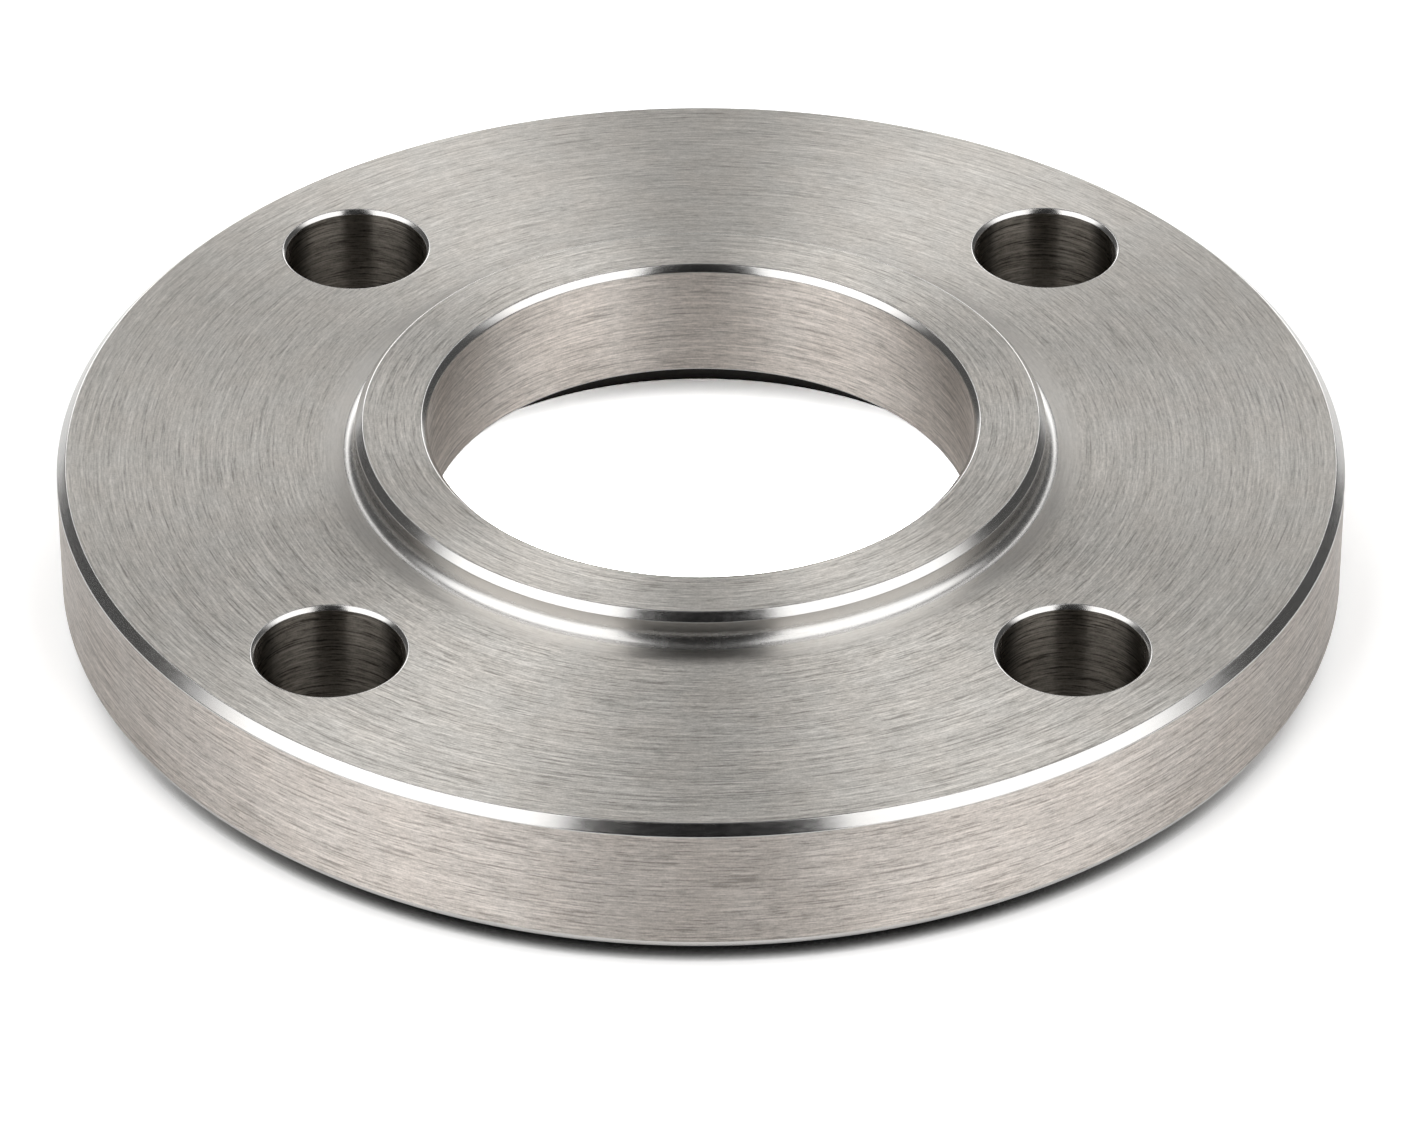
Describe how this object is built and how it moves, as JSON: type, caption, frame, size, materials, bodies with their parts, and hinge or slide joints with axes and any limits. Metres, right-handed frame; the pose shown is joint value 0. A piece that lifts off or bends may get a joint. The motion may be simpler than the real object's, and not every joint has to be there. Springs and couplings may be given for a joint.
{
  "type": "slip on flange",
  "caption": "Round slip on pipe flange with a low hub, a straight bore for the pipe, bolt holes through its rim and a raised gasket face.",
  "frame": {"origin": "centre of the raised gasket face, on the bore's axis, in the plane that the flange rests on", "axes": "+Z along the bore's axis, from the gasket face towards the hub; the bolt holes lie half way between the X and Y axes"},
  "size_m": [0.1778, 0.1778, 0.0259],
  "materials": {
    "turned_steel": "turned and brushed stainless steel, warm grey, with brighter cut edges"
  },
  "bodies": {
    "root": {"slip_on_flange": "turned_steel"}
  },
  "joints": []
}
